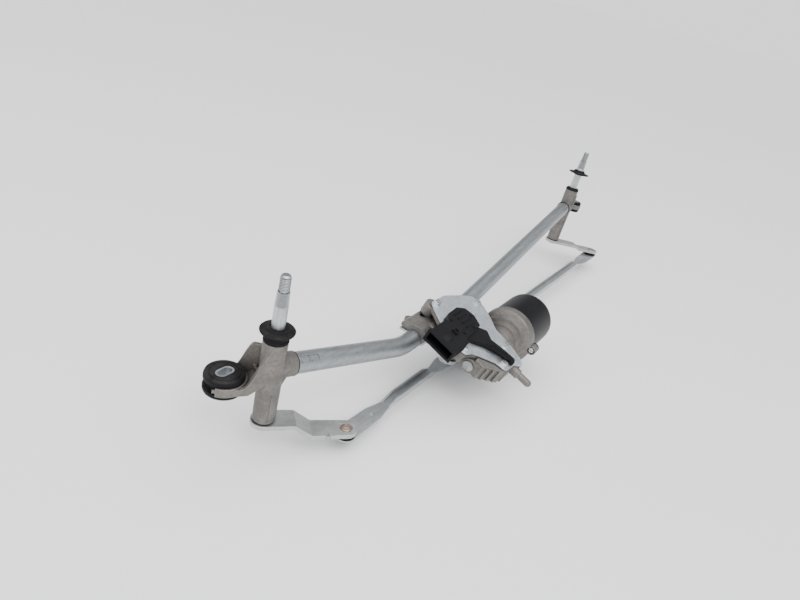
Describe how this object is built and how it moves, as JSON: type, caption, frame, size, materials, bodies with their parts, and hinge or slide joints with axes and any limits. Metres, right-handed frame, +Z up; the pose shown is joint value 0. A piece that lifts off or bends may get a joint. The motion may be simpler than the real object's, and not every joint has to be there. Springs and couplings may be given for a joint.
{
  "type": "wiper linkage",
  "caption": "Windscreen wiper linkage: a bent tube frame with two splined spindles, a geared motor with crank, and pressed rods to the spindle levers.",
  "frame": {"origin": "on the near spindle's axis at the foot of its thread", "axes": "+X from the near spindle to the far one, +Z up along the near spindle"},
  "size_m": [0.786, 0.191, 0.1875],
  "materials": {
    "cast": "as cast, satin",
    "zinc": "zinc plated",
    "galvanised": "galvanised",
    "lever_zinc": "zinc plated",
    "steel": "turned",
    "rubber": "matte",
    "black_plastic": "satin",
    "yoke_black": "satin black",
    "rivet": "copper plated",
    "bronze": "sintered",
    "brass": "bright",
    "copper": "enamelled",
    "gear": "satin",
    "magnet": "matte",
    "carbon": "matte"
  },
  "bodies": {
    "frame": {"frame_tube": "galvanised", "near_housing": "cast", "near_bushes": "bronze", "near_boot": "rubber", "near_grommet": "rubber", "near_sleeve": "zinc", "near_tube_seal": "rubber", "far_housing": "cast", "far_bushes": "bronze", "far_cap_ring": "rubber", "far_grommet": "rubber", "far_sleeve": "zinc", "far_tube_seal": "rubber", "gear_housing": "cast", "tube_strap": "zinc", "strap_screws": "zinc", "gear_cover": "zinc", "cover_gasket": "rubber", "cover_screws": "zinc", "connector_module": "black_plastic", "terminal_pins": "brass", "motor_yoke": "yoke_black", "yoke_screws": "zinc", "magnets": "magnet", "brush_plate": "black_plastic", "brushes": "carbon", "worm_end_bush": "bronze", "yoke_bush": "bronze", "thrust_screw": "zinc", "output_bush": "bronze"},
    "crank": {"output_shaft": "steel", "worm_gear": "gear", "crank_arm": "zinc", "crank_nut": "zinc", "crank_pin": "steel", "output_clip": "steel"},
    "armature": {"armature_shaft": "steel", "armature_core": "steel", "armature_winding": "copper", "commutator": "copper"},
    "near_spindle": {"near_spindle": "zinc", "near_lever": "lever_zinc", "near_stud": "rivet", "near_washer": "rubber", "near_clip": "steel"},
    "far_spindle": {"far_spindle": "zinc", "far_lever": "lever_zinc", "far_stud": "rivet", "far_washer": "rubber", "far_clip": "steel", "far_seal": "rubber"},
    "near_rod": {"near_rod": "galvanised", "near_crank_socket": "black_plastic", "near_lever_socket": "black_plastic"},
    "far_rod": {"far_rod": "galvanised", "far_crank_socket": "black_plastic", "far_lever_socket": "black_plastic"}
  },
  "joints": [
    {"name": "crank_turn", "type": "hinge", "parent": "frame", "child": "crank", "pos_m": [0.227, -0.069, -0.08], "axis": [0, 0.314, -0.9494], "range_deg": [0, 180]},
    {"name": "near_spindle_turn", "type": "hinge", "parent": "frame", "child": "near_spindle", "pos_m": [0, 0, -0.122], "axis": [0, 0, -1], "range_deg": [-0.5, 95.24]},
    {"name": "far_spindle_turn", "type": "hinge", "parent": "frame", "child": "far_spindle", "pos_m": [0.683, 0, -0.118], "axis": [-0.0872, 0, -0.9962], "range_deg": [-0.5, 91.11]},
    {"name": "near_rod_swing", "type": "hinge", "parent": "crank", "child": "near_rod", "pos_m": [0.281, -0.04577, -0.15026], "axis": [-0.0029, -0.314, 0.9494], "range_deg": [-0.5, 181.51]},
    {"name": "far_rod_swing", "type": "hinge", "parent": "crank", "child": "far_rod", "pos_m": [0.281, -0.04906, -0.14029], "axis": [0.0076, -0.3141, 0.9494], "range_deg": [-0.5, 181.7]},
    {"name": "armature_spin", "type": "hinge", "parent": "frame", "child": "armature", "pos_m": [0.227, -0.09198, -0.10287], "axis": [-1, 0, 0], "continuous": true}
  ],
  "couplings": [
    {"joint": "near_spindle_turn", "follows": "crank_turn", "ratio": 0.52634},
    {"joint": "far_spindle_turn", "follows": "crank_turn", "ratio": 0.5034},
    {"joint": "near_rod_swing", "follows": "crank_turn", "ratio": 1.0056},
    {"joint": "far_rod_swing", "follows": "crank_turn", "ratio": 1.0067},
    {"joint": "armature_spin", "follows": "crank_turn", "ratio": 54}
  ]
}
